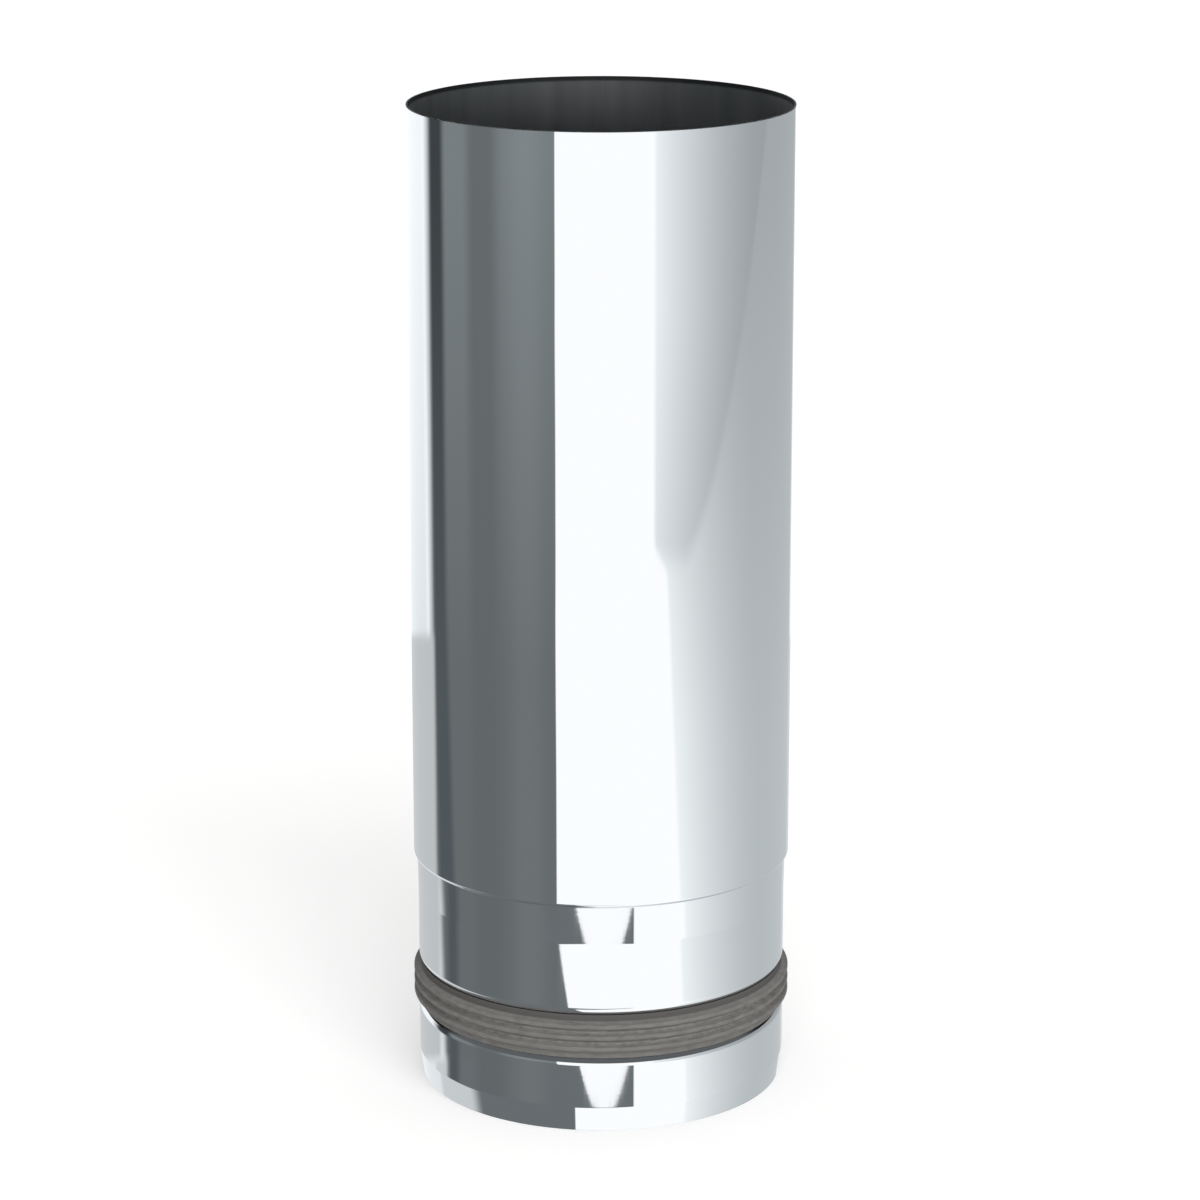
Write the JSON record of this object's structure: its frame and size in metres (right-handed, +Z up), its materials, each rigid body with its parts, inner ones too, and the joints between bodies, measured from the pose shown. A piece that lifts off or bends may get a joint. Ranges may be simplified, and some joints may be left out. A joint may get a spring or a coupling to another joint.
{
  "type": "pellet stove pipe",
  "caption": "Straight single-wall stainless flue pipe for a pellet stove, with a plain socket at the top and a stepped spigot that carries a silicone lip gasket in a rolled groove.",
  "frame": {"origin": "centre of the spigot's open end, which the pipe stands on", "axes": "+Z up the pipe's axis, out of the socket; +X and +Y are any two directions across it, with the sheet's weld seam at +Y"},
  "size_m": [0.082, 0.082, 0.213],
  "materials": {
    "stainless_steel": "bright-annealed stainless sheet, near mirror",
    "silicone_rubber": "matt moulded grey silicone"
  },
  "bodies": {
    "root": {"pipe_shell": "stainless_steel", "sealing_gasket": "silicone_rubber"}
  },
  "joints": []
}
